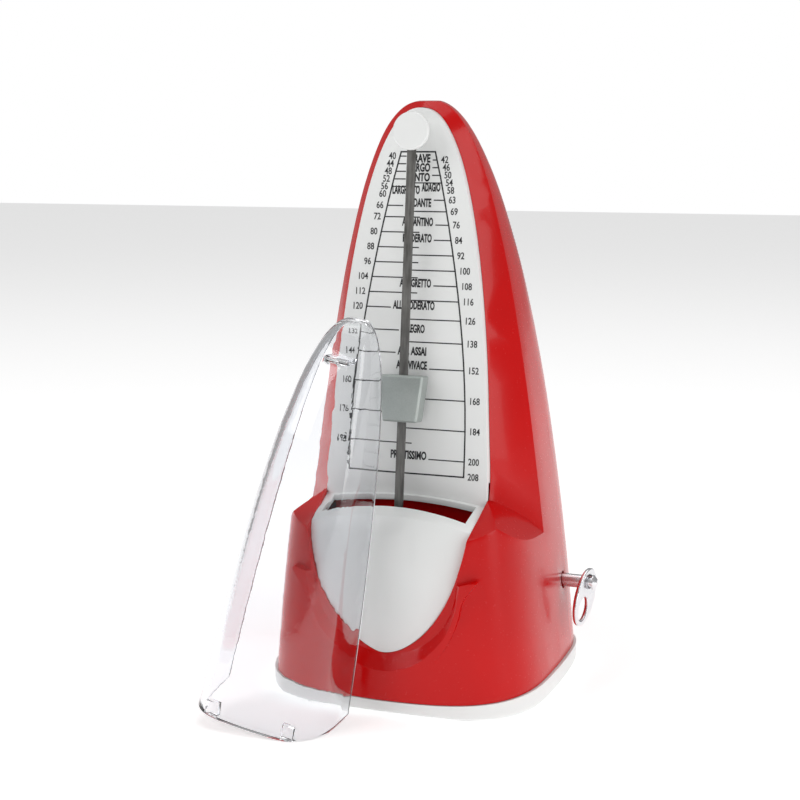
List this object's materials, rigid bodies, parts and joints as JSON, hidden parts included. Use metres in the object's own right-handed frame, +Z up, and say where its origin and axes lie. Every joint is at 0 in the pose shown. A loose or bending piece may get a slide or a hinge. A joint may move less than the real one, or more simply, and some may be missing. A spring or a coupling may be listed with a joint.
{
  "type": "mechanical metronome",
  "caption": "Wind-up pendulum metronome in a tapering case with a scale plate, sliding tempo weight, side key and lift-off clear cover.",
  "frame": {"origin": "centre of the case's footprint on the table, under the pendulum", "axes": "+Z up, -Y towards the scale plate and pendulum (front), +X towards the winding key"},
  "size_m": [0.1238, 0.1433, 0.2204],
  "materials": {
    "red_plastic": "glossy moulded",
    "white_plastic": "satin moulded",
    "clear_plastic": "clear polished moulding",
    "foot_rubber": "matt",
    "zinc_steel": "zinc plated",
    "rod_steel": "dark brushed",
    "weight_metal": "matt satin",
    "chrome": "polished",
    "brass": "satin",
    "spring_steel": "blued",
    "printed_ink": "printed black",
    "plate_steel": "satin stamped"
  },
  "bodies": {
    "root": {"base": "white_plastic", "base_feet": "foot_rubber", "base_screws": "zinc_steel", "shell": "red_plastic", "front_panel": "white_plastic", "slot_liner": "red_plastic", "rod_catch": "white_plastic", "movement_plate_left": "plate_steel", "movement_plate_right": "plate_steel", "movement_pillars": "plate_steel", "pillar_screws": "zinc_steel", "movement_screws": "zinc_steel", "front_cock": "plate_steel", "cock_screws": "zinc_steel", "back_cock": "plate_steel", "escape_bridge": "brass", "bridge_posts": "plate_steel", "plate_bushes": "brass", "mainspring": "spring_steel", "spring_post": "plate_steel"},
    "great_wheel": {"great_wheel": "brass", "click_screw": "zinc_steel", "click_spring": "spring_steel"},
    "click": {"click": "plate_steel"},
    "winding_key": {"winding_arbor": "zinc_steel", "ratchet_wheel": "plate_steel", "arbor_collar": "brass", "key_shaft": "chrome", "key_bow": "chrome"},
    "second_train": {"second_arbor": "zinc_steel", "second_pinion": "zinc_steel", "second_wheel": "brass"},
    "escape_train": {"escape_arbor": "zinc_steel", "escape_pinion": "zinc_steel", "escape_wheel": "brass"},
    "pendulum": {"pendulum_rod": "rod_steel", "pendulum_hub": "brass", "pendulum_arbor": "zinc_steel", "pallets": "plate_steel", "counterweight": "brass", "counterweight_screw": "zinc_steel"},
    "tempo_weight": {"sliding_weight": "weight_metal", "weight_spring": "spring_steel"},
    "cover": {"clear_cover": "clear_plastic"}
  },
  "joints": [
    {"name": "pendulum_swing", "type": "hinge", "parent": "root", "child": "pendulum", "pos_m": [0, -0.03775, 0.05], "axis": [0, -0.9945, 0.1045], "range_deg": [-25, 25]},
    {"name": "weight_slide", "type": "slide", "parent": "pendulum", "child": "tempo_weight", "axis": [0, 0.1045, 0.9945], "range_m": [-0.037, 0.0789]},
    {"name": "key_turn", "type": "hinge", "parent": "root", "child": "winding_key", "pos_m": [0.06, 0.015, 0.037], "axis": [1, 0, 0], "continuous": true},
    {"name": "train_run", "type": "hinge", "parent": "root", "child": "great_wheel", "pos_m": [0.0192, 0.015, 0.037], "axis": [1, 0, 0], "continuous": true},
    {"name": "click_lift", "type": "hinge", "parent": "great_wheel", "child": "click", "pos_m": [0.017, 0.009, 0.04739], "axis": [1, 0, 0], "range_deg": [0, 12]},
    {"name": "second_run", "type": "hinge", "parent": "root", "child": "second_train", "pos_m": [0.0192, -0.00602, 0.03466], "axis": [1, 0, 0], "continuous": true},
    {"name": "escape_run", "type": "hinge", "parent": "root", "child": "escape_train", "pos_m": [0.015, -0.014, 0.0475], "axis": [1, 0, 0], "continuous": true},
    {"name": "cover_lift", "type": "slide", "parent": "root", "child": "cover", "axis": [0, 0, 1], "range_m": [0, 0.16]}
  ],
  "couplings": [
    {"joint": "second_run", "follows": "train_run", "ratio": -6},
    {"joint": "escape_run", "follows": "train_run", "ratio": 30}
  ]
}
